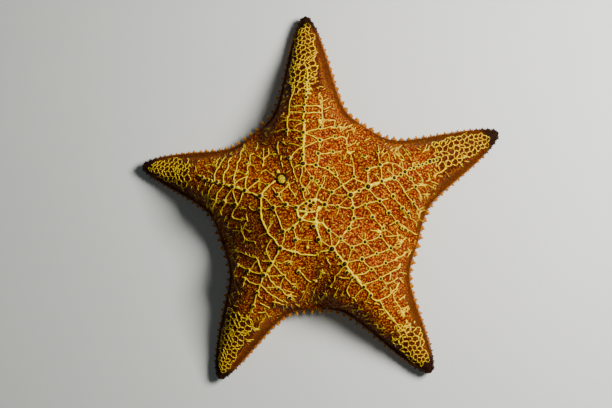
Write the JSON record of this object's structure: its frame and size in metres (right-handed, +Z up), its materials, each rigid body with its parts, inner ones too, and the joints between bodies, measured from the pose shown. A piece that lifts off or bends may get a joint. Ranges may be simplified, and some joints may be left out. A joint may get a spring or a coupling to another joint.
{
  "type": "starfish model",
  "caption": "Cushion starfish at life size, its thick domed disc running out into tapering arms, netted above with ridges and knobs, with spined margins and grooves below.",
  "frame": {"origin": "middle of the footprint, at the level of the small flats on the underside that the body rests on", "axes": "+Z up through the disc; +Y along the arm that points to the top of the picture; +X to the right of the picture"},
  "size_m": [0.2262, 0.2294, 0.0542],
  "materials": {
    "disc_skin": "orange-brown skin between raised yellow ridges, with dark purple knobs where ridges meet, slightly moist",
    "arm_skin": "as the disc, darkening to maroon brown outward, plain brown on the steep sides, with orange marginal spines",
    "arm_tip_skin": "dark maroon to black, finely granular",
    "madreporite": "pale yellow-brown, with fine winding grooves",
    "mouth_membrane": "thin pale brown skin",
    "jaw": "pale yellow-orange plates with blunt spines"
  },
  "bodies": {
    "root": {"disc": "disc_skin", "arm_1": "arm_skin", "arm_2": "arm_skin", "arm_3": "arm_skin", "arm_4": "arm_skin", "arm_5": "arm_skin", "arm_tip_1": "arm_tip_skin", "arm_tip_2": "arm_tip_skin", "arm_tip_3": "arm_tip_skin", "arm_tip_4": "arm_tip_skin", "arm_tip_5": "arm_tip_skin", "madreporite": "madreporite", "mouth_membrane": "mouth_membrane", "jaw_1": "jaw", "jaw_2": "jaw", "jaw_3": "jaw", "jaw_4": "jaw", "jaw_5": "jaw"}
  },
  "joints": []
}
